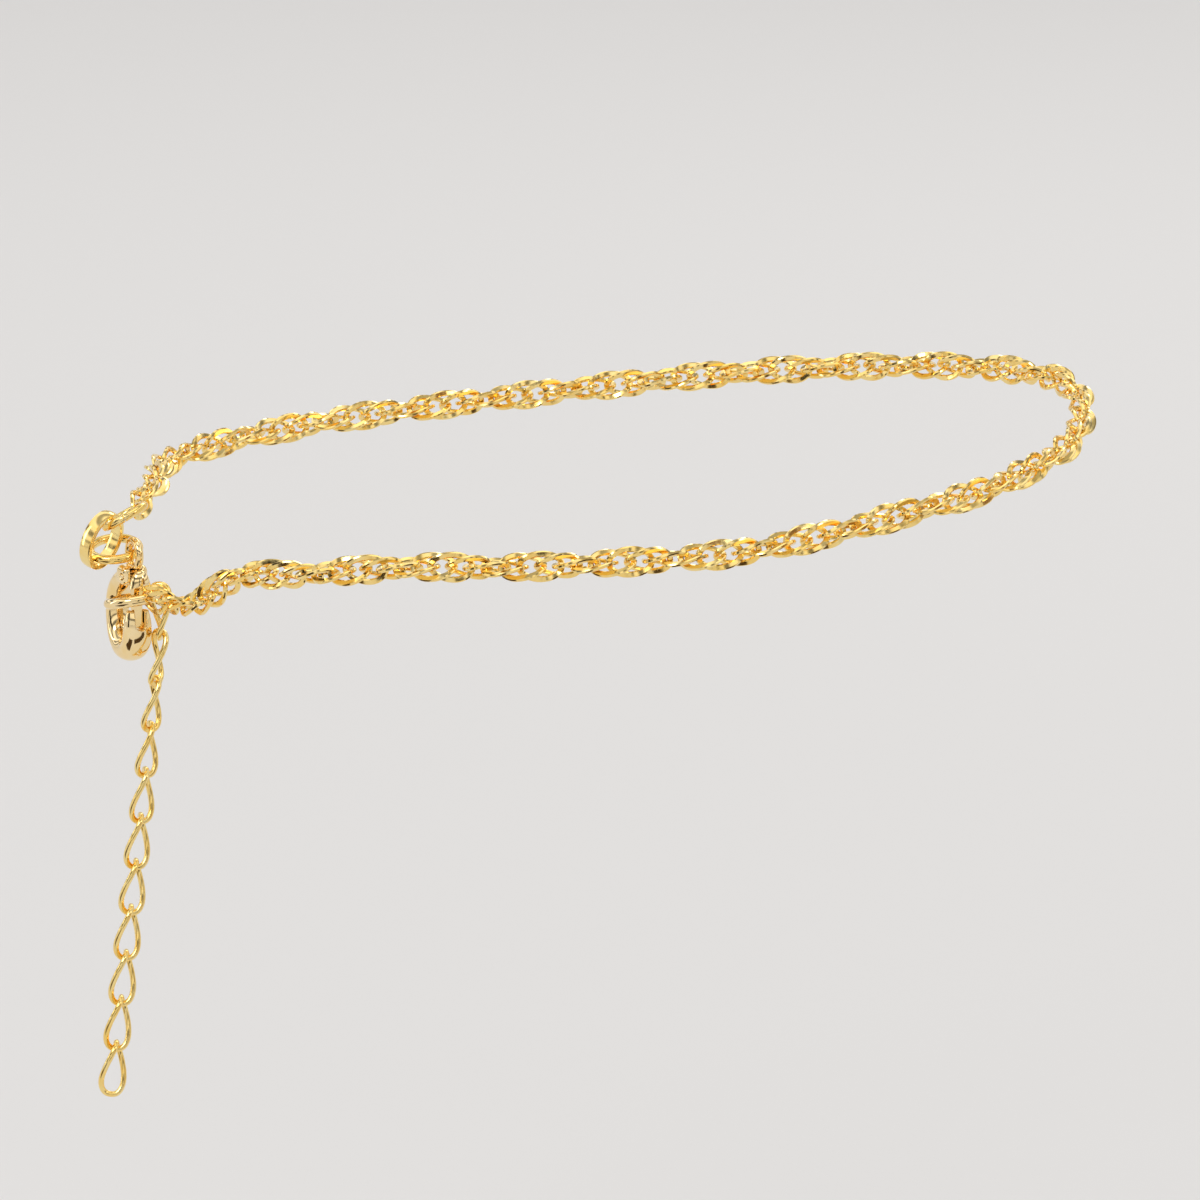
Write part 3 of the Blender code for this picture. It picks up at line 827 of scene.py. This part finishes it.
def card(name, position, target, size, material):
    """Matt card that only shows in reflections."""
    half_x, half_y = size[0] / 2 * MM, size[1] / 2 * MM
    corners = [(-half_x, -half_y, 0), (half_x, -half_y, 0), (half_x, half_y, 0), (-half_x, half_y, 0)]
    mesh = bpy.data.meshes.new(name)
    mesh.from_pydata(corners, [], [(0, 1, 2, 3)])
    mesh.materials.append(material)
    piece = bpy.data.objects.new(name, mesh)
    piece.location = Vector(position) * MM
    piece.rotation_euler = aimed(position, target)
    piece.visible_camera = False
    piece.visible_diffuse = False
    piece.visible_shadow = False
    bpy.context.scene.collection.objects.link(piece)


def surroundings():
    """World of pale and dark bands by height, which give polished metal its contrast."""
    world = bpy.data.worlds.new("studio")
    bpy.context.scene.world = world
    world.use_nodes = True
    tree = world.node_tree
    place = tree.nodes.new("ShaderNodeTexCoord")
    split = tree.nodes.new("ShaderNodeSeparateXYZ")
    ramp = tree.nodes.new("ShaderNodeValToRGB")
    ramp.color_ramp.elements.remove(ramp.color_ramp.elements[1])
    for number, (height, grey) in enumerate(WORLD_BANDS):
        stop = ramp.color_ramp.elements[0] if number == 0 else ramp.color_ramp.elements.new(height)
        stop.position = height
        stop.color = (*(grey * tint for tint in WORLD_TINT), 1)
    tree.links.new(place.outputs["Generated"], split.inputs["Vector"])
    tree.links.new(split.outputs["Z"], ramp.inputs["Fac"])
    tree.links.new(ramp.outputs["Color"], tree.nodes["Background"].inputs["Color"])


def floor():
    """Round, level and matt floor below the part."""
    mesh = bpy.data.meshes.new("floor")
    turns = [2 * math.pi * number / FLOOR_SIDES for number in range(FLOOR_SIDES)]
    rim = [
        Vector((FLOOR_RADIUS * math.cos(turn), FLOOR_RADIUS * math.sin(turn), FLOOR_HEIGHT))
        for turn in turns
    ]
    mesh.from_pydata([point * MM for point in rim], [], [tuple(range(FLOOR_SIDES))])
    mesh.materials.append(plain("floor", FLOOR_COLOUR))
    piece = bpy.data.objects.new("floor", mesh)
    bpy.context.scene.collection.objects.link(piece)


def studio():
    """Floor, world, lights and reflected cards."""
    floor()
    surroundings()
    for name, position, size, power in SOFTBOXES:
        softbox(name, position, LIGHT_AIM, size, power)
    for name, position, target, size, colour in CARDS:
        card(name, position, target, size, plain(name + "_card", colour))


def camera():
    """Long lens in front of the part and a little above it, as in the photograph."""
    lens = bpy.data.cameras.new("camera")
    lens.sensor_width = CAMERA_SENSOR
    lens.lens = CAMERA_LENS
    lens.clip_start, lens.clip_end = 0.01, 10
    holder = bpy.data.objects.new("camera", lens)
    holder.location = Vector(CAMERA_PLACE) * MM
    holder.rotation_euler = aimed(CAMERA_PLACE, CAMERA_AIM)
    bpy.context.scene.collection.objects.link(holder)
    bpy.context.scene.camera = holder


camera()
yellow = gold("chain_gold", *YELLOW_GOLD)
pale = gold("clasp_gold", *PALE_GOLD)

dressed(chain_links(), "singapore_chain", "bracelet", yellow)
dressed(clasp_body(), "clasp_body", "bracelet", pale)
dressed(clasp_lever(), "clasp_lever", "lever", pale)
dressed(clasp_pin(), "clasp_pin", "bracelet", pale)
dressed(jump_ring("extender_ring"), "extender_ring", "bracelet", pale)
dressed(jump_ring("clasp_ring"), "clasp_ring", "bracelet", yellow)
dressed(jump_ring("end_ring"), "end_ring", "bracelet", yellow)
dressed(band_ring(), "band_ring", "bracelet", yellow)
for node in sorted(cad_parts):
    if node.startswith("extender_link"):
        dressed(extender_link(node), node, "bracelet", yellow)

studio()
bpy.context.scene.view_settings.view_transform = "Standard"
